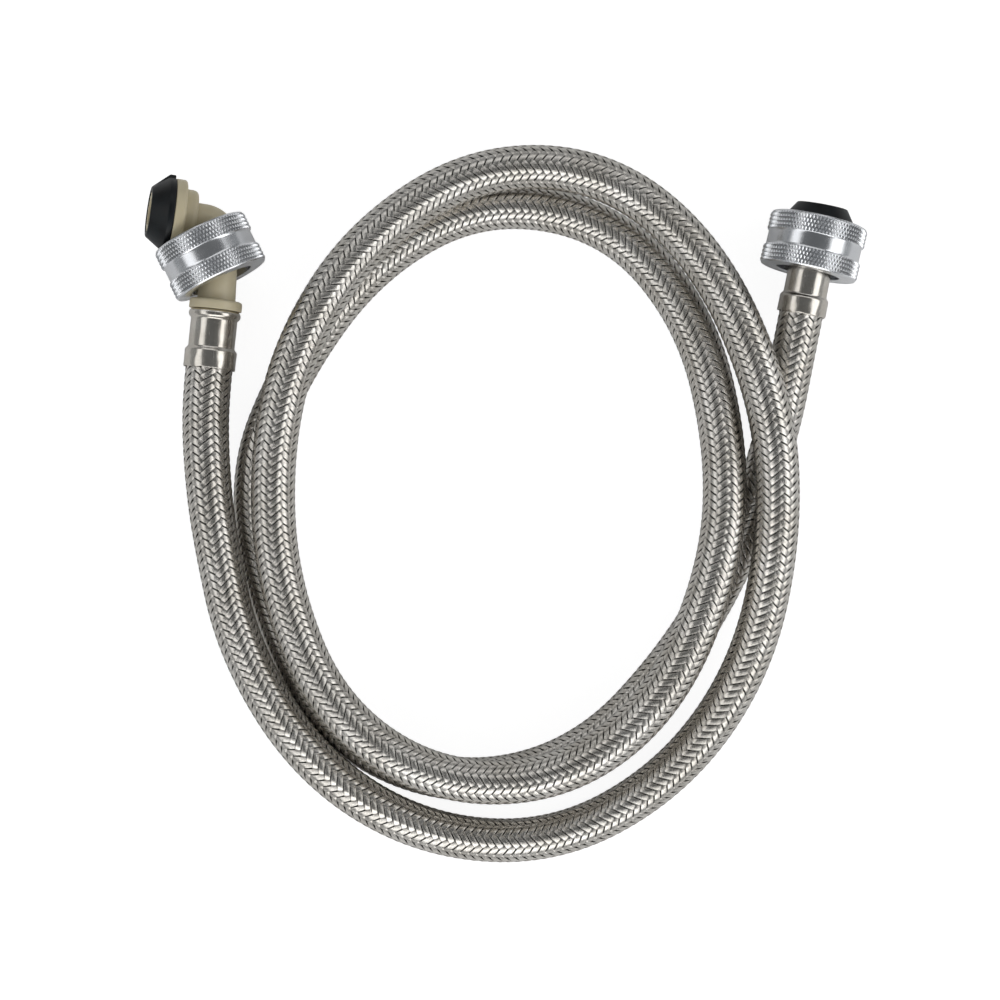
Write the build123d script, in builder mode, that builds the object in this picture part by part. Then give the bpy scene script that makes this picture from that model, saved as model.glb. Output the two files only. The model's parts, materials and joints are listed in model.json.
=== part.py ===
from build123d import *

import os
from math import cos, pi, radians, sin, tan

# Braided supply line with an elbow coupling at one end and a straight one at the other.
# Millimetres, +Z up. It lies coiled on a flat surface at Z = 0, and the origin is under
# the middle of its fittings. The straight fitting is on the +X side, the elbow on the -X side.

# ---- hose ----
BRAID_R = 7.15              # outside radius of the braid
BRAID_BORE_R = 6.35
LINER_R = 6.3               # inner rubber tube
LINER_BORE_R = 4.75
FLOOR_Z = 7.2               # height of the centreline where the hose lies on the surface

# under a crimped ferrule the tube and the braid are squeezed onto the stem's tail
TAIL_R = 4.3
TAIL_ROOT_R = 3.95
BARB_PITCH = 3.0
BARB_COUNT = 4
SQUEEZED_LINER_R = 5.65
SQUEEZED_BRAID_BORE_R = 5.68
PASSAGE_R = 3.1             # water way through both fittings
NOZZLE_R = 6.75             # spigot that the cone washer sits on
NOZZLE_BORE_R = 4.4
NOZZLE_BORE_DEPTH = 7.2
NOZZLE_LENGTH = 7.1
FLANGE_R = 11.8
FIT = 0.03                  # gap between fixed round faces
RUNNING = 0.05              # gap between moving faces

# ---- coupling nut, 3/4 inch hose thread; distances along its axis from its middle ----
NUT_R = 15.9
NUT_REAR = -8.4
NUT_FRONT = 8.8
NUT_CHAMFER = 0.7
NUT_WALL_FRONT = -5.8       # inside face of the rear wall, which pulls on the flange
NUT_HOLE_R = 10.3           # hole in the rear wall
THREAD_R = 13.3             # bore at the root of the thread
LEAD_R = 14.0               # countersink at the mouth
LEAD_DEPTH = 1.2
GROOVE_R = 15.2             # smooth band between the two knurled bands
GROOVE_BOTTOM = -2.4
GROOVE_TOP = 2.8

# ---- rubber cone washer ----
WASHER_R = 11.8
WASHER_TIP_R = 8.1
WASHER_RIM = 1.9            # height of its cylindrical rim
WASHER_HEIGHT = 7.4

# ---- straight fitting; distances along its axis from the nut's middle ----
STRAIGHT_LEAN = 10.8        # degrees from +Y towards +X
STRAIGHT_RISE = 4.0         # degrees up from the surface
STRAIGHT_NUT_LEAN = 13.2
STRAIGHT_NUT_CENTRE = Vector(99.1, 8.5, NUT_R)
STRAIGHT_ORIGIN = Vector(99.4, 8.5, NUT_R)
STRAIGHT_FLANGE_FACE = 6.2
STRAIGHT_FLANGE_BACK = 2.6
STRAIGHT_NECK_R = 6.5
STRAIGHT_FERRULE_TOP = -0.7
STRAIGHT_STEP = -15.8       # the barrel widens here
STRAIGHT_MOUTH = -21.8      # open end, where the free hose begins
STRAIGHT_BARREL_R = 7.0
STRAIGHT_SKIRT_R = 7.9
STRAIGHT_SKIRT_BORE_R = 7.25

# ---- elbow fitting; distances from the corner where its two axes meet ----
ELBOW_CORNER = Vector(-91.3, 16.6, 12.8)
ELBOW_LEAN = 6.0            # the leg's axis, degrees from +Y towards +X
OUTLET_SWING = 7.6          # the outlet's axis, degrees from -X towards +Y
OUTLET_RISE = 14.0
BEND_RADIUS = 6.5
PIPE_R = 5.2
LEG_FOOT_R = 6.2            # the leg widens to this at the collar
COLLAR_R = 8.5
COLLAR_TOP = -25.2
COLLAR_ROUND = 1.2
ELBOW_FERRULE_TOP = -28.2
ELBOW_STEP = -40.8
ELBOW_MOUTH = -47.2
ELBOW_BARREL_R = 7.5
ELBOW_SKIRT_R = 8.4
ELBOW_SKIRT_BORE_R = 7.8
SHOULDER_BACK = 9.5         # small disc behind the flange
SHOULDER_R = 9.0
SHOULDER_ROUND = 2.0
ELBOW_FLANGE_BACK = 13.55
ELBOW_FLANGE_FACE = 17.2
ELBOW_NUT_CENTRE = Vector(-95.3, 5.3, NUT_R)
ELBOW_NUT_LEAN = -26.0

# ---- ferrule end that is rolled into the groove of the stem ----
LIP_R = 8.4
LIP_ROUND = 0.8
LIP_LENGTH = 3.2
GROOVE_WALL = 1.2
STEM_GROOVE_R = 5.0
STEM_COLLAR_R = 5.9
STEM_COLLAR_LENGTH = 1.3
FERRULE_WALL = 0.5
STEP_LENGTH = 0.8

os.makedirs("parts", exist_ok=True)


def direction(lean, rise=0.0):
    """Unit vector that leans from +Y towards +X and rises from the surface, in degrees."""
    flat = cos(radians(rise))
    return Vector(sin(radians(lean)) * flat, cos(radians(lean)) * flat, sin(radians(rise)))


def section_plane(origin, along):
    """Plane whose X is a radius and whose Y is the distance along a fitting's axis."""
    side = along.cross(Vector(0, 0, 1)).normalized()
    return Plane(origin=origin, x_dir=side, z_dir=side.cross(along))


STRAIGHT_AXIS = direction(STRAIGHT_LEAN, STRAIGHT_RISE)
STRAIGHT_NUT_AXIS = direction(STRAIGHT_NUT_LEAN)
LEG_AXIS = direction(ELBOW_LEAN)
OUTLET_AXIS = direction(OUTLET_SWING - 90, OUTLET_RISE)
ELBOW_NUT_AXIS = direction(ELBOW_NUT_LEAN)

STRAIGHT_PLANE = section_plane(STRAIGHT_ORIGIN, STRAIGHT_AXIS)
LEG_PLANE = section_plane(ELBOW_CORNER, LEG_AXIS)
OUTLET_PLANE = section_plane(ELBOW_CORNER, OUTLET_AXIS)
STRAIGHT_LINE = Axis(STRAIGHT_ORIGIN, STRAIGHT_AXIS)
LEG_LINE = Axis(ELBOW_CORNER, LEG_AXIS)
OUTLET_LINE = Axis(ELBOW_CORNER, OUTLET_AXIS)

# ---- route of the free hose, from the elbow's ferrule to the straight one ----
ELBOW_LEAD = 12.0           # straight run out of each ferrule
STRAIGHT_LEAD = 14.0
elbow_exit = ELBOW_CORNER + LEG_AXIS * ELBOW_MOUTH
straight_exit = STRAIGHT_ORIGIN + STRAIGHT_AXIS * STRAIGHT_MOUTH
ROUTE = [
    elbow_exit,
    elbow_exit - LEG_AXIS * ELBOW_LEAD,
    # outer turn: down the left side, across the front, rising over the end of the hose
    (-99, -60.5, 10.5),
    (-97, -83, 7.5),
    (-88, -122.5, FLOOR_Z),
    (-62.5, -161, FLOOR_Z),
    (-26, -183, FLOOR_Z),
    (17, -185, FLOOR_Z),
    (55, -163, 9),
    (79.5, -127, 14.5),
    (88, -82.5, 21),
    (85, -40.5, 23.5),
    # upper turn, which lies on the lower one
    (65, 6, 20),
    (32, 32.5, 18.5),
    (-10.5, 34.5, 18),
    (-47, 12, 20.5),
    (-68, -24, 22),
    (-75.5, -59.5, 21.5),
    (-73.5, -100, 21),
    (-57, -140.5, 21.5),
    (-23.5, -163.5, 22),
    (17.5, -163, 22.5),
    (50, -139, 22.5),
    (68.5, -96, 22),
    (71.5, -58, 16),
    (62, -14.5, 10),
    # lower turn, on the surface
    (34.5, 17, 7.5),
    (-7, 24.5, FLOOR_Z),
    (-44, 5.5, FLOOR_Z),
    (-70.5, -30.5, FLOOR_Z),
    (-84.5, -67, FLOOR_Z),
    (-76, -112.5, FLOOR_Z),
    (-53.5, -149.5, FLOOR_Z),
    (-15, -166.5, FLOOR_Z),
    (26, -157, FLOOR_Z),
    (57.5, -123, FLOOR_Z),
    (77.5, -86.5, FLOOR_Z),
    (89, -49, 7.8),
    straight_exit - STRAIGHT_AXIS * STRAIGHT_LEAD,
    straight_exit,
]
ARC_SHARE = 0.45            # part of the shorter run that an arc takes


def route_radii(points):
    """Radius of each corner's arc, as large as its two runs allow."""
    corners = [Vector(*point) for point in points]
    radii = []
    for before, here, after in zip(corners, corners[1:], corners[2:]):
        run_in, run_out = here - before, after - here
        turn = radians(run_in.get_angle(run_out))
        radii.append(ARC_SHARE * min(run_in.length, run_out.length) / tan(turn / 2))
    return radii


RADII = route_radii(ROUTE)
print("arc radii", [round(radius) for radius in RADII])

with BuildLine() as route_line:
    FilletPolyline(*ROUTE, radius=RADII)
route_wire = route_line.wire()
ROUTE_LENGTH = route_wire.length
START_PLANE = Plane(origin=elbow_exit, z_dir=-LEG_AXIS)
print("length between the ferrules", round(ROUTE_LENGTH, 1))


# ---- hose pieces; each end is squeezed under its ferrule ----
def compare_volume(tube, radius, bore):
    """Prints a swept tube's volume over its section times its length."""
    expected = pi * (radius**2 - bore**2) * ROUTE_LENGTH
    print("swept volume over section x length", round(tube.volume / expected, 4))


def sleeve_section(radius, bore, squeezed_radius, squeezed_bore, end, step, mouth):
    """Half section of a hose layer inside a ferrule, from its squeezed end to the mouth."""
    Polyline(
        (squeezed_bore, end),
        (squeezed_radius, end),
        (squeezed_radius, step),
        (radius, step - STEP_LENGTH),
        (radius, mouth),
        (bore, mouth),
        (bore, step - STEP_LENGTH),
        (squeezed_bore, step),
        close=True,
    )


STRAIGHT_HOSE_END = STRAIGHT_FERRULE_TOP - GROOVE_WALL - STEM_COLLAR_LENGTH
ELBOW_HOSE_END = ELBOW_FERRULE_TOP - GROOVE_WALL - STEM_COLLAR_LENGTH

with BuildPart() as hose_liner:
    with BuildSketch(START_PLANE):
        Circle(LINER_R)
        Circle(LINER_BORE_R, mode=Mode.SUBTRACT)
    sweep(path=route_wire)
    compare_volume(hose_liner.part, LINER_R, LINER_BORE_R)
    with BuildSketch(STRAIGHT_PLANE):
        with BuildLine():
            sleeve_section(LINER_R, LINER_BORE_R, SQUEEZED_LINER_R, TAIL_R + FIT,
                           STRAIGHT_HOSE_END, STRAIGHT_STEP - STEP_LENGTH / 2, STRAIGHT_MOUTH)
        make_face()
    revolve(axis=STRAIGHT_LINE)
    with BuildSketch(LEG_PLANE):
        with BuildLine():
            sleeve_section(LINER_R, LINER_BORE_R, SQUEEZED_LINER_R, TAIL_R + FIT,
                           ELBOW_HOSE_END, ELBOW_STEP - STEP_LENGTH / 2, ELBOW_MOUTH)
        make_face()
    revolve(axis=LEG_LINE)
hose_liner.part.label = "hose_liner"
export_step(hose_liner.part, "parts/hose_liner.step")

with BuildPart() as hose_braid:
    with BuildSketch(START_PLANE):
        Circle(BRAID_R)
        Circle(BRAID_BORE_R, mode=Mode.SUBTRACT)
    sweep(path=route_wire)
    compare_volume(hose_braid.part, BRAID_R, BRAID_BORE_R)
    with BuildSketch(STRAIGHT_PLANE):
        with BuildLine():
            sleeve_section(BRAID_R, BRAID_BORE_R, STRAIGHT_BARREL_R - FERRULE_WALL - FIT,
                           SQUEEZED_BRAID_BORE_R, STRAIGHT_HOSE_END,
                           STRAIGHT_STEP - STEP_LENGTH / 2, STRAIGHT_MOUTH)
        make_face()
    revolve(axis=STRAIGHT_LINE)
    with BuildSketch(LEG_PLANE):
        with BuildLine():
            sleeve_section(BRAID_R, BRAID_BORE_R, ELBOW_BARREL_R - FERRULE_WALL - FIT,
                           SQUEEZED_BRAID_BORE_R, ELBOW_HOSE_END,
                           ELBOW_STEP - STEP_LENGTH / 2, ELBOW_MOUTH)
        make_face()
    revolve(axis=LEG_LINE)
hose_braid.part.label = "hose_braid"
export_step(hose_braid.part, "parts/hose_braid.step")


# ---- ferrules: thin crimped sleeves with a rolled lip at the top and a wider skirt ----
def ferrule_section(top, step, mouth, barrel, skirt, skirt_bore):
    """Half section of a ferrule, from the hole in its top down to its open mouth."""
    bore = barrel - FERRULE_WALL
    hole = STEM_GROOVE_R + FIT
    lip_bottom = top - LIP_LENGTH
    rim = Line((hole, top), (LIP_R - LIP_ROUND, top))
    lip = RadiusArc(rim @ 1, (LIP_R, top - LIP_ROUND), LIP_ROUND)
    side = Line(lip @ 1, (LIP_R, lip_bottom + LIP_ROUND))
    neck = Line(side @ 1, (barrel, lip_bottom))
    tube = Line(neck @ 1, (barrel, step))
    flare = Line(tube @ 1, (skirt, step - STEP_LENGTH))
    hem = Line(flare @ 1, (skirt, mouth))
    Polyline(
        hem @ 1,
        (skirt_bore, mouth),
        (skirt_bore, step - 2 * STEP_LENGTH),
        (bore, step - STEP_LENGTH / 2),
        (bore, top - GROOVE_WALL),
        (hole, top - GROOVE_WALL),
        (hole, top),
    )


with BuildPart() as straight_ferrule:
    with BuildSketch(STRAIGHT_PLANE):
        with BuildLine():
            ferrule_section(STRAIGHT_FERRULE_TOP, STRAIGHT_STEP, STRAIGHT_MOUTH,
                           STRAIGHT_BARREL_R, STRAIGHT_SKIRT_R, STRAIGHT_SKIRT_BORE_R)
        make_face()
    revolve(axis=STRAIGHT_LINE)
straight_ferrule.part.label = "straight_ferrule"
export_step(straight_ferrule.part, "parts/straight_ferrule.step")

with BuildPart() as elbow_ferrule:
    with BuildSketch(LEG_PLANE):
        with BuildLine():
            ferrule_section(ELBOW_FERRULE_TOP, ELBOW_STEP, ELBOW_MOUTH,
                           ELBOW_BARREL_R, ELBOW_SKIRT_R, ELBOW_SKIRT_BORE_R)
        make_face()
    revolve(axis=LEG_LINE)
elbow_ferrule.part.label = "elbow_ferrule"
export_step(elbow_ferrule.part, "parts/elbow_ferrule.step")


# ---- stem and elbow: both end in a barbed tail inside the hose ----
def tail_points(ferrule_top):
    """Outline of the groove, the collar and the barbed tail, from the top down to the axis."""
    groove_end = ferrule_top - GROOVE_WALL
    collar_end = groove_end - STEM_COLLAR_LENGTH
    points = [
        (STEM_GROOVE_R, ferrule_top),
        (STEM_GROOVE_R, groove_end),
        (STEM_COLLAR_R, groove_end),
        (STEM_COLLAR_R, collar_end),
    ]
    for barb in range(BARB_COUNT):
        start = collar_end - barb * BARB_PITCH
        points.append((TAIL_R, start))
        points.append((TAIL_R, start - BARB_PITCH / 3))
        points.append((TAIL_ROOT_R, start - BARB_PITCH))
    tail_end = collar_end - BARB_COUNT * BARB_PITCH
    points.append((TAIL_R, tail_end))
    points.append((TAIL_ROOT_R, tail_end - BARB_PITCH))
    points.append((0, tail_end - BARB_PITCH))
    return points


TAIL_LENGTH = GROOVE_WALL + STEM_COLLAR_LENGTH + (BARB_COUNT + 1) * BARB_PITCH

with BuildPart() as straight_stem:
    with BuildSketch(STRAIGHT_PLANE):
        with BuildLine():
            Polyline(
                (0, STRAIGHT_FLANGE_FACE + NOZZLE_LENGTH),
                (NOZZLE_R, STRAIGHT_FLANGE_FACE + NOZZLE_LENGTH),
                (NOZZLE_R, STRAIGHT_FLANGE_FACE),
                (FLANGE_R, STRAIGHT_FLANGE_FACE),
                (FLANGE_R, STRAIGHT_FLANGE_BACK),
                (STRAIGHT_NECK_R, STRAIGHT_FLANGE_BACK),
                (STRAIGHT_NECK_R, STRAIGHT_FERRULE_TOP),
                *tail_points(STRAIGHT_FERRULE_TOP),
                close=True,
            )
        make_face()
    revolve(axis=STRAIGHT_LINE)
    nozzle_plane = Plane(
        origin=STRAIGHT_ORIGIN + STRAIGHT_AXIS * (STRAIGHT_FLANGE_FACE + NOZZLE_LENGTH),
        z_dir=STRAIGHT_AXIS,
    )
    with Locations(nozzle_plane):
        CounterBoreHole(PASSAGE_R, NOZZLE_BORE_R, NOZZLE_BORE_DEPTH)
straight_stem.part.label = "straight_stem"
export_step(straight_stem.part, "parts/straight_stem.step")

with BuildPart() as elbow_body:
    # leg: a slightly conical pipe, the collar above the ferrule and the tail
    with BuildSketch(LEG_PLANE):
        with BuildLine():
            bend_end = -BEND_RADIUS * tan(radians(LEG_AXIS.get_angle(OUTLET_AXIS)) / 2)
            cone = Polyline((0, bend_end), (PIPE_R, bend_end), (LEG_FOOT_R, COLLAR_TOP),
                            (COLLAR_R - COLLAR_ROUND, COLLAR_TOP))
            collar_edge = RadiusArc(cone @ 1, (COLLAR_R, COLLAR_TOP - COLLAR_ROUND), COLLAR_ROUND)
            Polyline(collar_edge @ 1, (COLLAR_R, ELBOW_FERRULE_TOP),
                     *tail_points(ELBOW_FERRULE_TOP), (0, bend_end))
        make_face()
    revolve(axis=LEG_LINE)
    # bend and the first part of the outlet
    with BuildLine():
        pipe_path = FilletPolyline(ELBOW_CORNER + LEG_AXIS * (bend_end - 1), ELBOW_CORNER,
                                   ELBOW_CORNER + OUTLET_AXIS * SHOULDER_BACK, radius=BEND_RADIUS)
    with BuildSketch(Plane(origin=pipe_path @ 0, z_dir=pipe_path % 0)):
        Circle(PIPE_R)
    sweep(path=pipe_path)
    # shoulder, flange and nozzle
    with BuildSketch(OUTLET_PLANE):
        with BuildLine():
            Polyline(
                (0, SHOULDER_BACK),
                (SHOULDER_R - SHOULDER_ROUND, SHOULDER_BACK),
                (SHOULDER_R, SHOULDER_BACK + SHOULDER_ROUND),
                (SHOULDER_R, ELBOW_FLANGE_BACK),
                (FLANGE_R, ELBOW_FLANGE_BACK),
                (FLANGE_R, ELBOW_FLANGE_FACE),
                (NOZZLE_R, ELBOW_FLANGE_FACE),
                (NOZZLE_R, ELBOW_FLANGE_FACE + NOZZLE_LENGTH),
                (0, ELBOW_FLANGE_FACE + NOZZLE_LENGTH),
                close=True,
            )
        make_face()
    revolve(axis=OUTLET_LINE)
    # water way, wider in the nozzle
    with BuildLine():
        water_way = FilletPolyline(
            ELBOW_CORNER + LEG_AXIS * (ELBOW_FERRULE_TOP - TAIL_LENGTH - 1), ELBOW_CORNER,
            ELBOW_CORNER + OUTLET_AXIS * (ELBOW_FLANGE_FACE + NOZZLE_LENGTH + 1),
            radius=BEND_RADIUS,
        )
    with BuildSketch(Plane(origin=water_way @ 0, z_dir=water_way % 0)):
        Circle(PASSAGE_R)
    sweep(path=water_way, mode=Mode.SUBTRACT)
    nozzle_plane = Plane(
        origin=ELBOW_CORNER + OUTLET_AXIS * (ELBOW_FLANGE_FACE + NOZZLE_LENGTH),
        z_dir=OUTLET_AXIS,
    )
    with Locations(nozzle_plane):
        Hole(NOZZLE_BORE_R, depth=NOZZLE_BORE_DEPTH)
elbow_body.part.label = "elbow_body"
export_step(elbow_body.part, "parts/elbow_body.step")


# ---- coupling nuts ----
def nut_section():
    """Half section of a nut: rear wall, threaded bore, and two bands with a groove between."""
    Polyline(
        (NUT_HOLE_R, NUT_REAR),
        (NUT_R - NUT_CHAMFER, NUT_REAR),
        (NUT_R, NUT_REAR + NUT_CHAMFER),
        (NUT_R, GROOVE_BOTTOM),
        (GROOVE_R, GROOVE_BOTTOM),
        (GROOVE_R, GROOVE_TOP),
        (NUT_R, GROOVE_TOP),
        (NUT_R, NUT_FRONT - NUT_CHAMFER),
        (NUT_R - NUT_CHAMFER, NUT_FRONT),
        (LEAD_R, NUT_FRONT),
        (THREAD_R, NUT_FRONT - LEAD_DEPTH),
        (THREAD_R, NUT_WALL_FRONT),
        (NUT_HOLE_R, NUT_WALL_FRONT),
        close=True,
    )


with BuildPart() as straight_nut:
    with BuildSketch(section_plane(STRAIGHT_NUT_CENTRE, STRAIGHT_NUT_AXIS)):
        with BuildLine():
            nut_section()
        make_face()
    revolve(axis=Axis(STRAIGHT_NUT_CENTRE, STRAIGHT_NUT_AXIS))
straight_nut.part.label = "straight_nut"
export_step(straight_nut.part, "parts/straight_nut.step")

with BuildPart() as elbow_nut:
    with BuildSketch(section_plane(ELBOW_NUT_CENTRE, ELBOW_NUT_AXIS)):
        with BuildLine():
            nut_section()
        make_face()
    revolve(axis=Axis(ELBOW_NUT_CENTRE, ELBOW_NUT_AXIS))
elbow_nut.part.label = "elbow_nut"
export_step(elbow_nut.part, "parts/elbow_nut.step")


# ---- cone washers ----
def washer_section(base):
    """Half section of a cone washer whose flat face is at this distance along the axis."""
    face = base + RUNNING
    Polyline(
        (NOZZLE_R + RUNNING, face),
        (WASHER_R, face),
        (WASHER_R, base + WASHER_RIM),
        (WASHER_TIP_R, base + WASHER_HEIGHT),
        (NOZZLE_R + RUNNING, base + WASHER_HEIGHT),
        close=True,
    )


with BuildPart() as straight_cone_washer:
    with BuildSketch(STRAIGHT_PLANE):
        with BuildLine():
            washer_section(STRAIGHT_FLANGE_FACE)
        make_face()
    revolve(axis=STRAIGHT_LINE)
straight_cone_washer.part.label = "straight_cone_washer"
export_step(straight_cone_washer.part, "parts/straight_cone_washer.step")

with BuildPart() as elbow_cone_washer:
    with BuildSketch(OUTLET_PLANE):
        with BuildLine():
            washer_section(ELBOW_FLANGE_FACE)
        make_face()
    revolve(axis=OUTLET_LINE)
elbow_cone_washer.part.label = "elbow_cone_washer"
export_step(elbow_cone_washer.part, "parts/elbow_cone_washer.step")
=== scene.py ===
import json
from math import cos, pi, radians, sin, tan

import bpy
import numpy as np
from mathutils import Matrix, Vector


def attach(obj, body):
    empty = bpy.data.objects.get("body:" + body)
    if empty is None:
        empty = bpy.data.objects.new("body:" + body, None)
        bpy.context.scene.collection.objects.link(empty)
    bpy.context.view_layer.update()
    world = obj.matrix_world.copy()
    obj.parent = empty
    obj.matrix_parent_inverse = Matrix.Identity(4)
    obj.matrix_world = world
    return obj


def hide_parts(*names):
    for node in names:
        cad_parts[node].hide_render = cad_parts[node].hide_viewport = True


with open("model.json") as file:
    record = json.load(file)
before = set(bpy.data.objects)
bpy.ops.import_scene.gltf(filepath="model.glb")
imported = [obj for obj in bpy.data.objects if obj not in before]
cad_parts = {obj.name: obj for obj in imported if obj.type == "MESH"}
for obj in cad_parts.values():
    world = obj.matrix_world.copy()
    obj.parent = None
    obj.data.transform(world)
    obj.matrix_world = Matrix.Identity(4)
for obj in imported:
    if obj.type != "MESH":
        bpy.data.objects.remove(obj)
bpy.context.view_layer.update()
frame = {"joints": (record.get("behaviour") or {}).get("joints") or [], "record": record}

# Braided supply line: the woven hose, two knurled coupling nuts, an elbow and a straight
# fitting with crimped ferrules, and two rubber cone washers. Metres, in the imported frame.

MM = 0.001
JOINTS = {joint["name"]: joint for joint in frame["joints"]}
MOUNTS = {mount["name"]: mount for mount in frame["record"]["mounts"]}

# ---- hose ----
BRAID_R = 7.15 * MM             # outside of the braid
LINER_R = 6.3 * MM
FLOOR_Z = 7.2 * MM              # height of the centreline where the hose lies on the floor
STRANDS_EACH_WAY = 12
BRAID_ANGLE = radians(54)       # between a strand and the hose's axis
BRAID_LAY_R = BRAID_R - 0.15 * MM   # radius at which the strands have that angle
CROSSINGS_PER_PERIOD = 4        # a strand goes over two others and under two
WEAVE_HEIGHT = 0.25 * MM        # how far a strand rises and dips as it goes over and under
WEAVE_FLATNESS = 0.15           # how much flatter than a cosine its tops and bottoms are
BAND_COVER = 0.85               # width of a strand over the distance to its neighbour
BAND_HALF_THICKNESS = 0.1 * MM
BAND_CROWN = 0.13 * MM
BAND_UNDERSIDE = 0.93           # width of a strand's underside over its own width
WIRES = 6                       # wires side by side in a strand
WIRE_HEIGHT = 0.06 * MM
POINTS_PER_WIRE = 3
RINGS_PER_PERIOD = 8            # mesh rings per over-and-under of a strand
BEND_WINDOW = 5 * MM            # length over which the hose's bending is averaged
HIDDEN_END = 4.5 * MM           # length of braid inside each ferrule's skirt
BULGE = 0.5 * MM                # the braid is fuller where it comes out of the elbow's ferrule
BULGE_LENGTH = 45 * MM

# ---- coupling nuts; distances along the axis from the nut's middle ----
NUT_R = 15.9 * MM
NUT_REAR = -8.4 * MM
NUT_FRONT = 8.8 * MM
NUT_CHAMFER = 0.7 * MM
NUT_EDGE = 0.25 * MM            # broken edges of the hole and the mouth
NUT_WALL_FRONT = -5.8 * MM
NUT_HOLE_R = 10.3 * MM
THREAD_PITCH_R = 12.98 * MM     # the flange passes inside the crests as the nut comes round
THREAD_DEPTH = 0.64 * MM
THREAD_PITCH = 2.21 * MM
THREAD_FLAT = 0.75              # share of a sharp thread's height that its flats leave
THREAD_ROWS = 50
LEAD_R = 14.0 * MM
LEAD_DEPTH = 1.2 * MM
GROOVE_R = 15.2 * MM
GROOVE_BOTTOM = -2.4 * MM
GROOVE_TOP = 2.8 * MM
GROOVE_ROWS = 13
GROOVE_FILLET = 0.22 * MM
GROOVE_FILLET_LENGTH = 0.45 * MM
KNURL_TEETH = 85
KNURL_ROWS = 4
KNURL_DEPTH = 0.54 * MM
KNURL_CREST = 0.8               # below 1, the teeth are fuller than pyramids
KNURL_BANDS = ((NUT_REAR + NUT_CHAMFER, GROOVE_BOTTOM), (GROOVE_TOP, NUT_FRONT - NUT_CHAMFER))
RIM_R = NUT_R - KNURL_DEPTH * 0.6
SAME_R = 0.01 * MM              # points this close to a radius lie on it

# ---- fittings; distances along each axis from its origin or corner ----
NOZZLE_R = 6.75 * MM
NOZZLE_BORE_R = 4.4 * MM
NOZZLE_BORE_DEPTH = 7.2 * MM
NOZZLE_LENGTH = 7.1 * MM
PASSAGE_R = 3.1 * MM
FLANGE_R = 11.8 * MM
WASHER_R = 11.8 * MM
WASHER_TIP_R = 8.1 * MM
WASHER_RIM = 1.9 * MM
WASHER_HEIGHT = 7.4 * MM
WASHER_GAP = 0.05 * MM
WASHER_EDGE = 0.35 * MM
TAB_HEIGHT = 1.1 * MM           # moulding flash on the elbow's washer
TAB_WIDTH = 0.5 * MM

STRAIGHT_ORIGIN = Vector((99.4, 8.5, 15.9)) * MM
STRAIGHT_FLANGE_FACE = 6.2 * MM
STRAIGHT_FLANGE_BACK = 2.6 * MM
STRAIGHT_NECK_R = 6.5 * MM
STRAIGHT_FERRULE_TOP = -0.7 * MM
STRAIGHT_STEP = -15.8 * MM
STRAIGHT_MOUTH = -21.8 * MM
STRAIGHT_BARREL_R = 7.0 * MM
STRAIGHT_SKIRT_R = 7.9 * MM
STEM_EDGE = 0.25 * MM

ELBOW_CORNER = Vector((-91.3, 16.6, 12.8)) * MM
LEG_LEAN = radians(6)           # the leg's axis, from +Y towards +X
BEND_RADIUS = 6.5 * MM
PIPE_R = 5.2 * MM
LEG_FOOT_R = 6.2 * MM
COLLAR_R = 8.5 * MM
COLLAR_TOP = -25.0 * MM
ELBOW_FERRULE_TOP = -28.2 * MM
ELBOW_STEP = -40.8 * MM
ELBOW_MOUTH = -47.2 * MM
ELBOW_BARREL_R = 7.5 * MM
ELBOW_SKIRT_R = 8.4 * MM
SHOULDER_BACK = 9.5 * MM
SHOULDER_R = 9.0 * MM
ELBOW_FLANGE_BACK = 13.55 * MM
ELBOW_FLANGE_FACE = 17.2 * MM
SEAM_HEIGHT = 0.05 * MM         # parting line of the moulding
SEAM_WIDTH = 0.05               # radians round the pipe

FERRULE_LIP_R = 8.4 * MM
FERRULE_LIP_LENGTH = 3.2 * MM
FERRULE_WALL = 0.5 * MM
FERRULE_FIT = 0.03 * MM         # between the ferrule's top and the groove that it is crimped into
FLARE_RISE = 0.6 * MM           # how far above the step the skirt starts to flare
FLARE_LENGTH = 1.6 * MM
CRIMP_FLATS = 8
CRIMP_DEPTH = 0.012 * MM
CRIMP_RIPPLE = 0.006 * MM
CRIMP_FADE = 1.5 * MM           # length over which the flats die out at each end of the barrel
WRINKLE = 0.035 * MM
WRINKLE_RATE = 900              # radians per metre along the ferrule
SKIRT_FADE = 2 * MM
MOUTH_WAVE = 0.14 * MM
MOUTH_RIPPLE = 0.1 * MM
MOUTH_FADE = 3 * MM
STEM_GROOVE_R = 5.0 * MM
STEM_COLLAR_R = 5.9 * MM
STEM_COLLAR_LENGTH = 1.3 * MM
GROOVE_WALL = 1.2 * MM
TAIL_R = 4.3 * MM
TAIL_ROOT_R = 3.95 * MM
BARB_PITCH = 3.0 * MM
BARB_COUNT = 4

LEG_AXIS = Vector((sin(LEG_LEAN), cos(LEG_LEAN), 0))
STRAIGHT_AXIS = Vector(JOINTS["straight_washer_slide"]["axis"]).normalized()
OUTLET_AXIS = Vector(JOINTS["elbow_washer_slide"]["axis"]).normalized()
TURN_ANGLE = LEG_AXIS.angle(OUTLET_AXIS)
BEND_REACH = BEND_RADIUS * tan(TURN_ANGLE / 2)      # from the corner to where the bend starts
BEND_LENGTH = BEND_RADIUS * TURN_ANGLE

# ---- camera, floor and light ----
CAMERA_PLACE = (-2 * MM, -73 * MM, 757 * MM)
CAMERA_LENS = 82.7              # millimetres, as is the sensor's width
CAMERA_SENSOR = 36
FLOOR_HALF = 30.0               # far enough to fill a view from 15 degrees up
FLOOR_DROP = 0.1 * MM
PANEL_TARGET = Vector((0, -70 * MM, 10 * MM))
PANEL_DISTANCE = 1.0
HORIZON_LIGHT = 0.36
ZENITH_LIGHT = 0.14
FAR_SIDE = 0.6                  # share of the light that comes from behind the coil


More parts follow.
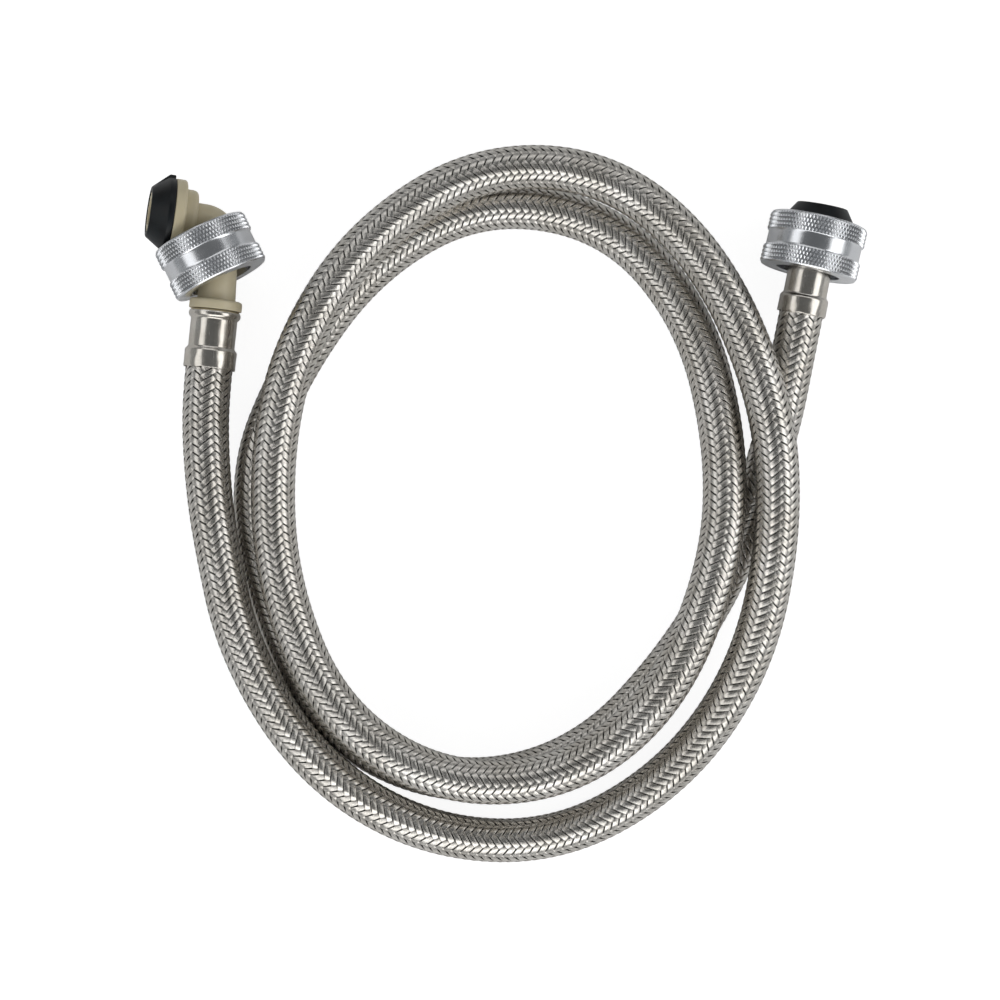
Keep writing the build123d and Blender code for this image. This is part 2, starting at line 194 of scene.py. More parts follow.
def make_camera():
    """The camera looks straight down on the middle of the coil."""
    data = bpy.data.cameras.new("camera")
    data.lens = CAMERA_LENS
    data.sensor_width = CAMERA_SENSOR
    camera = bpy.data.objects.new("camera", data)
    camera.location = CAMERA_PLACE
    bpy.context.scene.collection.objects.link(camera)
    bpy.context.scene.camera = camera


# ---- route of the free hose, from the elbow's ferrule to the straight one ----
ELBOW_EXIT = ELBOW_CORNER + LEG_AXIS * ELBOW_MOUTH
STRAIGHT_EXIT = STRAIGHT_ORIGIN + STRAIGHT_AXIS * STRAIGHT_MOUTH
ELBOW_LEAD = 12 * MM
STRAIGHT_LEAD = 14 * MM
ROUTE = [
    ELBOW_EXIT,
    ELBOW_EXIT - LEG_AXIS * ELBOW_LEAD,
    # outer turn
    (-0.0968, -0.0605, 0.0155),
    (-0.0944, -0.083, 0.0165),
    (-0.0862, -0.1225, 0.0155),
    (-0.0622, -0.1603, 0.0135),
    (-0.026, -0.1827, 0.009),
    (0.017, -0.185, FLOOR_Z),
    (0.055, -0.163, 0.009),
    (0.0795, -0.127, 0.0145),
    (0.088, -0.0825, 0.021),
    (0.085, -0.0405, 0.0235),
    # upper turn, which lies on the lower one
    (0.065, 0.006, 0.020),
    (0.032, 0.0333, 0.0185),
    (-0.0095, 0.0347, 0.018),
    (-0.046, 0.011, 0.0205),
    (-0.068, -0.024, 0.022),
    (-0.0755, -0.0595, 0.0215),
    (-0.0735, -0.1, 0.021),
    (-0.057, -0.1405, 0.0215),
    (-0.0235, -0.1635, 0.022),
    (0.0175, -0.163, 0.0225),
    (0.05, -0.139, 0.0225),
    (0.0685, -0.096, 0.022),
    (0.0715, -0.058, 0.016),
    (0.062, -0.0145, 0.010),
    # lower turn, on the floor
    (0.035, 0.0178, 0.0075),
    (-0.007, 0.0252, FLOOR_Z),
    (-0.044, 0.0055, FLOOR_Z),
    (-0.0705, -0.0305, FLOOR_Z),
    (-0.0845, -0.067, FLOOR_Z),
    (-0.076, -0.1125, FLOOR_Z),
    (-0.0548, -0.1512, FLOOR_Z),
    (-0.0155, -0.1672, FLOOR_Z),
    (0.026, -0.157, FLOOR_Z),
    (0.0575, -0.123, FLOOR_Z),
    (0.0775, -0.0865, FLOOR_Z),
    (0.089, -0.049, 0.0078),
    STRAIGHT_EXIT - STRAIGHT_AXIS * STRAIGHT_LEAD,
    STRAIGHT_EXIT,
]


def route_curve(name):
    """The route as one smooth NURBS spline."""
    data = bpy.data.curves.new(name, "CURVE")
    data.dimensions = "3D"
    spline = data.splines.new("NURBS")
    spline.points.add(len(ROUTE) - 1)
    for point, place in zip(spline.points, ROUTE):
        point.co = (*place, 1)
    spline.order_u = 3
    spline.use_endpoint_u = True
    spline.resolution_u = 48
    return bpy.data.objects.new(name, data)


def unit(vectors):
    """Each row of an array at length 1."""
    return vectors / np.linalg.norm(vectors, axis=-1, keepdims=True)


def read_route():
    """Points, lengths along, and a frame that doesn't twist, read from the route's spline."""
    bare = route_curve("route_line")
    mesh = bpy.data.meshes.new_from_object(bare)
    places = np.array([vertex.co for vertex in mesh.vertices])
    bpy.data.meshes.remove(mesh)
    bpy.data.curves.remove(bare.data)
    runs = np.linalg.norm(np.diff(places, axis=0), axis=1)
    places = places[np.concatenate([[True], runs > 1e-7])]
    along = np.concatenate([[0], np.cumsum(np.linalg.norm(np.diff(places, axis=0), axis=1))])
    tangent = unit(np.gradient(places, along, axis=0))
    side = np.zeros_like(places)
    side[0] = unit(np.cross(tangent[0], (0, 0, 1)))
    for i in range(1, len(places)):
        side[i] = unit(side[i - 1] - tangent[i] * (side[i - 1] @ tangent[i]))
    return places, along, tangent, side


# ---- meshes ----
def grid_mesh(name, grid, joined_rows, caps=False):
    """A mesh of rings: grid[row, column] is a point, and each row closes on itself."""
    rows, columns = grid.shape[:2]
    index = np.arange(rows * columns).reshape(rows, columns)
    following = np.roll(index, -1, axis=0) if joined_rows else index[1:]
    here = index if joined_rows else index[:-1]
    quads = np.stack([here, np.roll(here, -1, 1), np.roll(following, -1, 1), following], -1)
    loops = quads.reshape(-1)
    starts = np.arange(0, len(loops), 4)
    if caps:
        starts = np.concatenate([starts, [len(loops), len(loops) + columns]])
        loops = np.concatenate([loops, index[0, ::-1], index[-1]])
    mesh = bpy.data.meshes.new(name)
    mesh.vertices.add(rows * columns)
    mesh.vertices.foreach_set("co", grid.astype(np.float32).reshape(-1))
    mesh.loops.add(len(loops))
    mesh.loops.foreach_set("vertex_index", loops.astype(np.int32))
    mesh.polygons.add(len(starts))
    mesh.polygons.foreach_set("loop_start", starts.astype(np.int32))
    mesh.update(calc_edges=True)
    mesh.validate()
    return mesh


def piece(name, mesh, material, body, stands_for, sharp=None):
    """Places a mesh in the scene, on its body and in the stead of its CAD node."""
    mesh.materials.append(material)
    mesh.shade_smooth()
    if sharp is not None:
        mesh.set_sharp_from_angle(angle=sharp)
    obj = bpy.data.objects.new(name, mesh)
    bpy.context.scene.collection.objects.link(obj)
    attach(obj, body)
    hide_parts(stands_for)
    return obj


def turned(origin, axis, profile, columns, change=None):
    """Rings of a turned piece. profile is a closed list of (radius, distance along)."""
    axis = Vector(axis).normalized()
    side = axis.cross(Vector((0, 0, 1))).normalized()
    up = side.cross(axis)
    turn = np.linspace(0, 2 * pi, columns, endpoint=False)
    outward = np.cos(turn)[:, None] * np.array(side) + np.sin(turn)[:, None] * np.array(up)
    profile = np.array(profile, float)
    radius = np.repeat(profile[:, :1], columns, axis=1)
    height = np.repeat(profile[:, 1:], columns, axis=1)
    if change is not None:
        radius, height = change(radius, height, turn[None, :])
    return np.array(origin) + radius[..., None] * outward + height[..., None] * np.array(axis)


def arc(centre, radius, start, end, steps):
    """Points of a profile's round stretch, between two angles in degrees."""
    angles = np.radians(np.linspace(start, end, steps + 1))
    return [(centre[0] + radius * cos(a), centre[1] + radius * sin(a)) for a in angles]


def rounded(before, here, after, size, most, steps):
    """A corner of a profile, curved by about this size, or less where a side is short."""
    start = here + unit(before - here) * min(size, most * np.linalg.norm(before - here))
    end = here + unit(after - here) * min(size, most * np.linalg.norm(after - here))
    return [tuple((1 - t) ** 2 * start + 2 * t * (1 - t) * here + t**2 * end)
            for t in np.linspace(0, 1, steps + 1)]


def softened(corners, size, steps=3):
    """A closed profile with every corner curved by the same size."""
    corners = [np.array(corner, float) for corner in corners]
    points = []
    for before, here, after in zip(corners[-1:] + corners[:-1], corners, corners[1:] + corners[:1]):
        points += rounded(before, here, after, size, 0.45, steps)
    return points


def softened_open(corners, sizes, steps=5):
    """Part of a profile whose corners, all but the first and last, have sizes of their own."""
    corners = [np.array(corner, float) for corner in corners]
    points = [tuple(corners[0])]
    for before, here, after, size in zip(corners, corners[1:], corners[2:], sizes):
        points += rounded(before, here, after, size, 0.48, steps)
    return points + [tuple(corners[-1])]


# ---- materials ----
class Shader:
    """A material's Principled shader and a few calls that feed it."""

    def __init__(self, name):
        self.material = bpy.data.materials.new(name)
        self.material.use_nodes = True
        self.nodes = self.material.node_tree.nodes
        self.links = self.material.node_tree.links
        self.main = self.nodes["Principled BSDF"]

    def set(self, **values):
        for name, value in values.items():
            self.main.inputs[name.replace("_", " ")].default_value = value

    def link(self, output, name):
        self.links.new(output, self.main.inputs[name])

    def place(self, stretch=(1, 1, 1)):
        """Coordinates of the pattern, in metres."""
        coordinates = self.nodes.new("ShaderNodeTexCoord")
        mapping = self.nodes.new("ShaderNodeMapping")
        mapping.inputs["Scale"].default_value = stretch
        self.links.new(coordinates.outputs["Object"], mapping.inputs["Vector"])
        return mapping.outputs["Vector"]

    def attribute(self, name):
        node = self.nodes.new("ShaderNodeAttribute")
        node.attribute_name = name
        return node.outputs["Vector"]

    def parts(self, vector):
        node = self.nodes.new("ShaderNodeSeparateXYZ")
        self.links.new(vector, node.inputs["Vector"])
        return node.outputs["X"], node.outputs["Y"], node.outputs["Z"]

    def math(self, operation, *values):
        node = self.nodes.new("ShaderNodeMath")
        node.operation = operation
        for value, socket in zip(values, node.inputs):
            self.links.new(value, socket)
        return node.outputs["Value"]

    def darkened(self, colour, share):
        """The colour times a share between 0 and 1."""
        node = self.nodes.new("ShaderNodeVectorMath")
        node.operation = "SCALE"
        self.links.new(colour, node.inputs["Vector"])
        self.links.new(share, node.inputs["Scale"])
        return node.outputs["Vector"]

    def noise(self, place, scale, detail=4):
        node = self.nodes.new("ShaderNodeTexNoise")
        node.inputs["Scale"].default_value = scale
        node.inputs["Detail"].default_value = detail
        node.inputs["Roughness"].default_value = 0.55
        self.links.new(place, node.inputs["Vector"])
        return node.outputs["Fac"]

    def spread(self, value, low, high, span=(0.3, 0.7)):
        """A value of the pattern, spread between two others."""
        node = self.nodes.new("ShaderNodeMapRange")
        node.inputs["From Min"].default_value = span[0]
        node.inputs["From Max"].default_value = span[1]
        node.inputs["To Min"].default_value = low
        node.inputs["To Max"].default_value = high
        self.links.new(value, node.inputs["Value"])
        return node.outputs["Result"]

    def colours(self, value, first, second):
        """Two colours, mixed by a value of the pattern."""
        node = self.nodes.new("ShaderNodeValToRGB")
        node.color_ramp.elements[0].position = 0.35
        node.color_ramp.elements[1].position = 0.65
        node.color_ramp.elements[0].color = (*first, 1)
        node.color_ramp.elements[1].color = (*second, 1)
        self.links.new(value, node.inputs["Fac"])
        return node.outputs["Color"]

    def bump(self, value, height):
        node = self.nodes.new("ShaderNodeBump")
        node.inputs["Distance"].default_value = height
        node.inputs["Strength"].default_value = 1.0
        self.links.new(value, node.inputs["Height"])
        self.link(node.outputs["Normal"], "Normal")


def braid_steel():
    """Drawn stainless wire: warm grey, streaked along the strands, with painted shade at their
    edges and where they dip.
    """
    shader = Shader("braid_steel")
    shader.set(Metallic=1.0)
    strand = shader.attribute("strand")
    _, across, lift = shader.parts(strand)
    streaks = shader.noise(strand, 3.5, 3)
    patches = shader.noise(shader.place(), 90, 3)
    steel = shader.colours(patches, (0.62, 0.59, 0.54), (0.72, 0.695, 0.655))
    # painted shade: each strand darker towards its edges and where it dips under the others
    edge = shader.spread(shader.math("ABSOLUTE", across), 1.0, 0.3, span=(0.88, 1.02))
    depth = shader.spread(lift, 0.12, 1.0, span=(-0.6, 0.15))
    painted_shade = shader.math("MULTIPLY", edge, depth)
    shader.link(shader.darkened(steel, painted_shade), "Base Color")
    shader.link(shader.spread(streaks, 0.17, 0.28), "Roughness")
    return shader.material


def liner_rubber():
    """Dull black rubber with a fine grain."""
    shader = Shader("liner_rubber")
    shader.set(Base_Color=(0.012, 0.012, 0.012, 1))
    grain = shader.noise(shader.place(), 900, 4)
    shader.link(shader.spread(grain, 0.5, 0.7), "Roughness")
    shader.bump(grain, 0.05 * MM)
    return shader.material


def nut_chrome():
    """Bright nickel-chrome plate, with faint smears and fine pits."""
    shader = Shader("nut_chrome")
    shader.set(Metallic=1.0)
    smears = shader.noise(shader.place(), 140, 4)
    pits = shader.noise(shader.place(), 2600, 3)
    shader.link(shader.colours(smears, (0.70, 0.715, 0.74), (0.78, 0.79, 0.81)), "Base Color")
    shader.link(shader.spread(smears, 0.2, 0.28), "Roughness")
    shader.bump(pits, 0.01 * MM)
    return shader.material


def ferrule_steel():
    """Crimped stainless sleeve, with fine drawn lines along its length."""
    shader = Shader("ferrule_steel")
    shader.set(Metallic=1.0)
    lines = shader.noise(shader.place((1, 0.05, 1)), 2400, 3)
    smears = shader.noise(shader.place(), 160, 4)
    shader.link(shader.colours(smears, (0.58, 0.545, 0.49), (0.67, 0.64, 0.59)), "Base Color")
    shader.link(shader.spread(lines, 0.17, 0.28), "Roughness")
    shader.bump(lines, 0.006 * MM)
    return shader.material


def stem_steel():
    """Turned stainless steel, with fine tool marks across its axis."""
    shader = Shader("stem_steel")
    shader.set(Metallic=1.0)
    lines = shader.noise(shader.place((1, 30, 1)), 120, 3)
    shader.link(shader.colours(lines, (0.60, 0.57, 0.52), (0.68, 0.65, 0.60)), "Base Color")
    shader.link(shader.spread(lines, 0.2, 0.32), "Roughness")
    return shader.material


def elbow_plastic():
    """Satin beige moulding, a little translucent, with a faint moulded grain."""
    shader = Shader("elbow_plastic")
    shader.set(Subsurface_Weight=0.12, Subsurface_Scale=1.2 * MM, Subsurface_Radius=(1, 0.8, 0.5))
    clouds = shader.noise(shader.place(), 120, 4)
    grain = shader.noise(shader.place(), 1800, 4)
    shader.link(shader.colours(clouds, (0.58, 0.51, 0.34), (0.64, 0.57, 0.40)), "Base Color")
    shader.link(shader.spread(grain, 0.36, 0.5), "Roughness")
    shader.bump(grain, 0.015 * MM)
    return shader.material


def washer_rubber():
    """Black moulded rubber with a faint blue-green painted sheen in patches."""
    shader = Shader("washer_rubber")
    painted_sheen_patches = shader.noise(shader.place(), 220, 5)
    grain = shader.noise(shader.place(), 1500, 4)
    shader.set(Specular_IOR_Level=0.3)
    # painted sheen: faint blue-green patches in the base colour; the same patches vary the
    # roughness
    shader.link(shader.colours(painted_sheen_patches, (0.002, 0.0024, 0.003), (0.004, 0.007, 0.009)), "Base Color")
    shader.link(shader.spread(painted_sheen_patches, 0.34, 0.5), "Roughness")
    shader.bump(grain, 0.02 * MM)
    return shader.material


# ---- hose ----
def make_liner(material):
    """The rubber tube inside the braid. Its own line is the hose's centreline."""
    liner = route_curve("hose_inner_tube")
    liner.data.bevel_depth = LINER_R
    liner.data.bevel_resolution = 6
    liner.data.resolution_u = 16
    liner.data.use_fill_caps = True
    liner.data.materials.append(material)
    bpy.context.scene.collection.objects.link(liner)
    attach(liner, "hose")
    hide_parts("hose_liner")
    return liner


def band_section():
    """One strand's section: how far across, from -1 to 1, and its height, in metres."""
    across = np.linspace(-1, 1, WIRES * POINTS_PER_WIRE + 1)
    wire_height = np.where(np.arange(len(across)) % POINTS_PER_WIRE == 0, 0, WIRE_HEIGHT)
    top = BAND_HALF_THICKNESS - WIRE_HEIGHT / 2 + wire_height - BAND_CROWN * across**2
    # the outermost wires fall away to the underside
    across = np.concatenate([across, [BAND_UNDERSIDE, -BAND_UNDERSIDE]])
    top = np.concatenate([top, [-BAND_HALF_THICKNESS - BAND_CROWN] * 2])
    return across, top


def weave(place):
    """Height of a strand from -1 to 1 at this many crossings from where it comes up."""
    wave = np.cos(pi / 2 * (place - 0.5))
    return (1 + WEAVE_FLATNESS) * wave - WEAVE_FLATNESS * wave**3


def row_dots(first, second):
    """The dot product of each row of two arrays."""
    return np.einsum("ij,ij->i", first, second)


def braid_stations(route, step):
    """Distances along the hose, its centre, its three directions and its bending at each."""
    places, along, tangent, side = route
    length = along[-1]
    count = int(round((length + 2 * HIDDEN_END) / step)) + 1
    s = np.linspace(-HIDDEN_END, length + HIDDEN_END, count)
    inside = np.clip(s, 0, length)

    def at(values):
        return np.stack([np.interp(inside, along, values[:, k]) for k in range(3)], axis=1)

    forward = unit(at(tangent))
    right = unit(at(side))
    upward = np.cross(right, forward)
    centre = at(places) + forward * (s - inside)[:, None]
    bend = np.gradient(forward, s, axis=0)
    window = max(1, int(round(BEND_WINDOW / (s[1] - s[0]))))
    kernel = np.ones(window) / window
    bend = np.stack([np.convolve(bend[:, k], kernel, "same") for k in range(3)], axis=1)
    return s, centre, right, upward, bend


def make_strands(route, material):
    """Twelve strands wind each way, each going over two of the others and under two."""
    turn_rate = tan(BRAID_ANGLE) / BRAID_LAY_R
    crossings_per_length = STRANDS_EACH_WAY * turn_rate / pi
    step = CROSSINGS_PER_PERIOD / crossings_per_length / RINGS_PER_PERIOD
    s, centre, right, upward, bend = braid_stations(route, step)
    across, height = band_section()
    mean_r = BRAID_R - WEAVE_HEIGHT - BAND_HALF_THICKNESS - WIRE_HEIGHT / 2
    swell = BULGE * np.exp(-((np.maximum(s, 0) / BULGE_LENGTH) ** 2))
    crossings = crossings_per_length * s
    strands = []
    for way in (1, -1):
        for number in range(STRANDS_EACH_WAY):
            angle = 2 * pi * number / STRANDS_EACH_WAY + way * turn_rate * s
            lift = way * WEAVE_HEIGHT * weave(2 * number + way * crossings)
            out = right * np.cos(angle)[:, None] + upward * np.sin(angle)[:, None]
            middle = centre + out * (mean_r + swell + lift)[:, None]
            heading = unit(np.gradient(centre + out * mean_r, s, axis=0))
            sideways = unit(np.cross(heading, out))
            # strands lie closer together inside a bend and further apart outside it
            stretch = 1 - mean_r * row_dots(bend, out)
            gap = 2 * pi * mean_r / STRANDS_EACH_WAY * stretch
            gap /= np.sqrt(stretch**2 + (mean_r * turn_rate) ** 2)
            half_width = BAND_COVER * gap / 2
            slope = unit(np.gradient(middle, s, axis=0))
            normal = unit(np.cross(sideways, slope))
            normal *= np.sign(row_dots(normal, out))[:, None]
            grid = (
                middle[:, None]
                + sideways[:, None] * (half_width[:, None] * across)[..., None]
                + normal[:, None] * height[None, :, None]
            )
            name = f"braid_strand_{'right' if way > 0 else 'left'}_{number + 1:02d}"
            mesh = grid_mesh(name, grid, joined_rows=False, caps=True)
            # for the material: millimetres along, how far across, and how high in the weave
            strand = np.empty(grid.shape, np.float32)
            strand[..., 0] = (s / MM)[:, None]
            strand[..., 1] = across
            strand[..., 2] = (lift / WEAVE_HEIGHT)[:, None]
            attribute = mesh.attributes.new("strand", "FLOAT_VECTOR", "POINT")
            attribute.data.foreach_set("vector", strand.reshape(-1))
            strands.append(piece(name, mesh, material, "hose", "hose_braid"))
    return strands


# ---- coupling nuts ----
def ridge(phase):
    """1 on whole numbers, 0 half way between, straight in between."""
    return 1 - 2 * np.abs(phase - np.round(phase))


def knurl(radius, height, turn):
    """Cuts crossed knurling into both bands."""
    teeth = KNURL_TEETH * turn / (2 * pi)
    row_height = (GROOVE_BOTTOM - NUT_REAR - NUT_CHAMFER) / KNURL_ROWS
    for start, end in KNURL_BANDS:
        row = (height - start) / row_height - 0.5
        tooth = np.minimum(ridge(teeth + row / 2), ridge(teeth - row / 2)) ** KNURL_CREST
        band = (radius > NUT_R - SAME_R) & (height >= start) & (height <= end)
        radius = np.where(band, NUT_R - KNURL_DEPTH * (1 - tooth), radius)
    return radius


def thread(radius, height, turn):
    """Cuts a right-handed thread into the bore, running out at both ends."""
    bore = np.abs(radius - THREAD_PITCH_R) < SAME_R
    phase = height / THREAD_PITCH - turn / (2 * pi)
    wave = np.clip(2 * ridge(phase) - 1, -THREAD_FLAT, THREAD_FLAT) / THREAD_FLAT
    fade_in = np.clip((height - NUT_WALL_FRONT) / THREAD_PITCH, 0, 1)
    fade_out = np.clip((NUT_FRONT - LEAD_DEPTH - height) / (THREAD_PITCH / 2), 0, 1)
    return np.where(bore, radius + wave * THREAD_DEPTH / 2 * fade_in * fade_out, radius)


def nut_profile():
    """Closed profile: outside from the rear to the front, then back through the bore."""
    band_steps = KNURL_ROWS * 4 + 1
    rear_band, front_band = (np.linspace(start, end, band_steps) for start, end in KNURL_BANDS)
    groove = []
    for t in np.linspace(0, 1, GROOVE_ROWS):
        edge = min(t, 1 - t) * (GROOVE_TOP - GROOVE_BOTTOM)
        fillet = max(0.0, 1 - edge / GROOVE_FILLET_LENGTH) ** 2 * GROOVE_FILLET
        groove.append((GROOVE_R + fillet, GROOVE_BOTTOM + t * (GROOVE_TOP - GROOVE_BOTTOM)))
    bore = np.linspace(NUT_FRONT - LEAD_DEPTH, NUT_WALL_FRONT, THREAD_ROWS)
    return [
        (NUT_HOLE_R + NUT_EDGE, NUT_REAR),
        (RIM_R - NUT_CHAMFER, NUT_REAR),
        (RIM_R - NUT_CHAMFER / 3, NUT_REAR + NUT_CHAMFER / 4),
        (RIM_R, NUT_REAR + NUT_CHAMFER * 0.85),
        *[(NUT_R, z) for z in rear_band],
        *groove,
        *[(NUT_R, z) for z in front_band],
        (RIM_R, NUT_FRONT - NUT_CHAMFER * 0.85),
        (RIM_R - NUT_CHAMFER / 3, NUT_FRONT - NUT_CHAMFER / 4),
        (RIM_R - NUT_CHAMFER, NUT_FRONT),
        (LEAD_R + NUT_EDGE, NUT_FRONT),
        (LEAD_R, NUT_FRONT - NUT_EDGE),
        *[(THREAD_PITCH_R, z) for z in bore],
        (NUT_HOLE_R + NUT_EDGE, NUT_WALL_FRONT),
        (NUT_HOLE_R, NUT_WALL_FRONT - NUT_EDGE),
        (NUT_HOLE_R, NUT_REAR + NUT_EDGE),
    ]


def make_nut(name, mount, body, material):
    """A coupling nut whose mouth is at the mount, which faces out along the nut's axis."""
    axis = Vector(mount["axis"]).normalized()
    centre = Vector(mount["pos_m"]) - axis * NUT_FRONT

    def cut(radius, height, turn):
        return thread(knurl(radius, height, turn), height, turn), height

    grid = turned(centre, axis, nut_profile(), KNURL_TEETH * 8, cut)
    mesh = grid_mesh(name, grid, joined_rows=True)
    return piece(name, mesh, material, body, name.replace("_shell", ""), sharp=radians(40))


# ---- ferrules ----
def ferrule_profile(top, step, mouth, barrel, skirt):
    """Closed profile of a crimped sleeve with a rolled lip and a flared skirt."""
    lip = FERRULE_LIP_LENGTH / 2
    bead = arc((FERRULE_LIP_R - lip, top - lip), lip, 90, -50, 12)
    flare = [
        (barrel + (skirt - barrel) * (1 - cos(pi * t)) / 2, step + FLARE_RISE - FLARE_LENGTH * t)
        for t in np.linspace(0, 1, 7)
    ]
    return [
        *bead,
        *[(barrel, z) for z in np.linspace(top - FERRULE_LIP_LENGTH, step + 0.8 * MM, 24)],
        *flare,
        *[(skirt, z) for z in np.linspace(step - 1.3 * MM, mouth + 0.3 * MM, 8)],
        (skirt - 0.12 * MM, mouth),
        (skirt - FERRULE_WALL, mouth),
        (skirt - FERRULE_WALL, step - 1.4 * MM),
        (barrel - FERRULE_WALL, step - 0.2 * MM),
        (barrel - FERRULE_WALL, top - GROOVE_WALL),
        (STEM_GROOVE_R + FERRULE_FIT, top - GROOVE_WALL),
        (STEM_GROOVE_R + FERRULE_FIT, top),
    ]


def crimped(top, step, mouth, barrel):
    """The crimping tool leaves shallow flats round the barrel and a wavy mouth."""

    def change(radius, height, turn):
        on_barrel = np.clip((top - FERRULE_LIP_LENGTH - height) / CRIMP_FADE, 0, 1)
        on_barrel = on_barrel * np.clip((height - step) / CRIMP_FADE, 0, 1)
        outside = radius > barrel - 0.2 * MM
        flat = CRIMP_DEPTH * np.cos(CRIMP_FLATS * turn)
        flat = flat + CRIMP_RIPPLE * np.cos(2.5 * CRIMP_FLATS * turn + 1)
        radius = np.where(outside, radius - flat * on_barrel, radius)
        wrinkle = WRINKLE * np.sin(7 * turn + 2) * np.cos(height * WRINKLE_RATE + 3 * turn)
        on_skirt = np.clip((step - height) / SKIRT_FADE, 0, 1)
        radius = radius + wrinkle * (0.4 + on_skirt) * (radius > barrel - 0.6 * MM)
        waves = MOUTH_WAVE * np.sin(5 * turn) + MOUTH_RIPPLE * np.sin(11 * turn + 1)
        near_mouth = np.clip(1 - (height - mouth) / MOUTH_FADE, 0, 1)
        return radius, height + waves * near_mouth

    return change


def make_ferrule(name, origin, axis, top, step, mouth, barrel, skirt, material):
    """A crimped sleeve between a fitting and the braid, from its top down to its mouth."""
    profile = ferrule_profile(top, step, mouth, barrel, skirt)
    grid = turned(origin, axis, profile, 192, crimped(top, step, mouth, barrel))
    mesh = grid_mesh(name + "_sleeve", grid, joined_rows=True)
    return piece(name + "_sleeve", mesh, material, "hose", name, sharp=radians(50))


# ---- stem and elbow ----
def tail_profile(top):
    """Groove, collar and barbed tail below a fitting, from the ferrule's top down."""
    groove_end = top - GROOVE_WALL
    collar_end = groove_end - STEM_COLLAR_LENGTH
    points = [(STEM_GROOVE_R, top), (STEM_GROOVE_R, groove_end)]
    points += [(STEM_COLLAR_R, groove_end), (STEM_COLLAR_R, collar_end)]
    for barb in range(BARB_COUNT + 1):
        start = collar_end - barb * BARB_PITCH
        points += [(TAIL_R, start), (TAIL_R, start - BARB_PITCH / 3)]
        points += [(TAIL_ROOT_R, start - BARB_PITCH)]
    return points


def make_stem(material):
    """The straight fitting: nozzle, flange, neck and barbed tail, with its water way."""
    nozzle_end = STRAIGHT_FLANGE_FACE + NOZZLE_LENGTH
    tail = tail_profile(STRAIGHT_FERRULE_TOP)
    corners = [
        (NOZZLE_BORE_R, nozzle_end),
        (NOZZLE_R, nozzle_end),
        (NOZZLE_R, STRAIGHT_FLANGE_FACE),
        (FLANGE_R, STRAIGHT_FLANGE_FACE),
        (FLANGE_R, STRAIGHT_FLANGE_BACK),
        (STRAIGHT_NECK_R, STRAIGHT_FLANGE_BACK),
        (STRAIGHT_NECK_R, STRAIGHT_FERRULE_TOP),
        *tail,
        (PASSAGE_R, tail[-1][1]),
        (PASSAGE_R, nozzle_end - NOZZLE_BORE_DEPTH),
        (NOZZLE_BORE_R, nozzle_end - NOZZLE_BORE_DEPTH),
    ]
    name = "straight_stem_turned"
    grid = turned(STRAIGHT_ORIGIN, STRAIGHT_AXIS, softened(corners, STEM_EDGE), 128)
    mesh = grid_mesh(name, grid, joined_rows=True)
    return piece(name, mesh, material, "hose", "straight_stem", sharp=radians(40))


def elbow_rings(profile, columns):
    """Rings of the elbow. profile is a closed list of (radius, station along its path)."""
    leg, outlet = np.array(LEG_AXIS), np.array(OUTLET_AXIS)
    across = unit(np.cross(leg, outlet))
    inward = np.cross(across, leg)
    hub = np.array(ELBOW_CORNER) - leg * BEND_REACH + inward * BEND_RADIUS
    turn = np.linspace(0, 2 * pi, columns, endpoint=False)
    seam = SEAM_HEIGHT * np.exp(-((np.sin(turn) / SEAM_WIDTH) ** 2))
    rings = []
    for radius, station in profile:
        past = np.clip((station + BEND_REACH) / BEND_LENGTH, 0, 1) * TURN_ANGLE
        toward = leg * cos(past) + inward * sin(past)
        outward = leg * sin(past) - inward * cos(past)
        centre = hub + outward * BEND_RADIUS
        centre = centre + leg * min(0, station + BEND_REACH)
        centre = centre + toward * max(0, station + BEND_REACH - BEND_LENGTH)
        ring = np.cos(turn)[:, None] * outward + np.sin(turn)[:, None] * across
        rings.append(centre + (radius + seam)[:, None] * ring)
    return np.array(rings)


def make_elbow(material):
    """The moulded elbow: collar, conical leg, bend, shoulder, flange and nozzle."""
    offset = BEND_LENGTH - 2 * BEND_REACH       # from distance past the corner to station
    shoulder = SHOULDER_BACK + offset
    back = ELBOW_FLANGE_BACK + offset
    face = ELBOW_FLANGE_FACE + offset
    nozzle_end = ELBOW_FLANGE_FACE + NOZZLE_LENGTH + offset
    tail = tail_profile(ELBOW_FERRULE_TOP)
    collar = softened_open([
        (STEM_GROOVE_R, ELBOW_FERRULE_TOP),
        (COLLAR_R, ELBOW_FERRULE_TOP),
        (COLLAR_R, COLLAR_TOP),
        (LEG_FOOT_R, COLLAR_TOP),
    ], [0.25 * MM, 1.2 * MM])
    leg = [
        (LEG_FOOT_R + (PIPE_R - LEG_FOOT_R) * t, COLLAR_TOP + (-BEND_REACH - COLLAR_TOP) * t)
        for t in np.linspace(0.08, 1, 14)
    ]
    bend = [(PIPE_R, -BEND_REACH + t * BEND_RADIUS * TURN_ANGLE) for t in np.linspace(0.04, 1, 24)]
    discs = softened_open([
        (PIPE_R, shoulder),
        (SHOULDER_R, shoulder),
        (SHOULDER_R, back),
        (FLANGE_R, back),
        (FLANGE_R, face),
        (NOZZLE_R, face),
        (NOZZLE_R, nozzle_end),
        (NOZZLE_BORE_R, nozzle_end),
    ], [2.2 * MM, 0.3 * MM, 1.1 * MM, 0.5 * MM, 0.2 * MM, 0.4 * MM])
    bore_end = nozzle_end - NOZZLE_BORE_DEPTH
    bore = [(NOZZLE_BORE_R, bore_end)]
    bore += [(PASSAGE_R, station) for station in np.linspace(bore_end, tail[-1][1], 40)]
    profile = tail[::-1] + collar + leg + bend + discs + bore
    mesh = grid_mesh("elbow_moulding", elbow_rings(profile, 128), joined_rows=True)
    return piece("elbow_moulding", mesh, material, "hose", "elbow_body", sharp=radians(45))


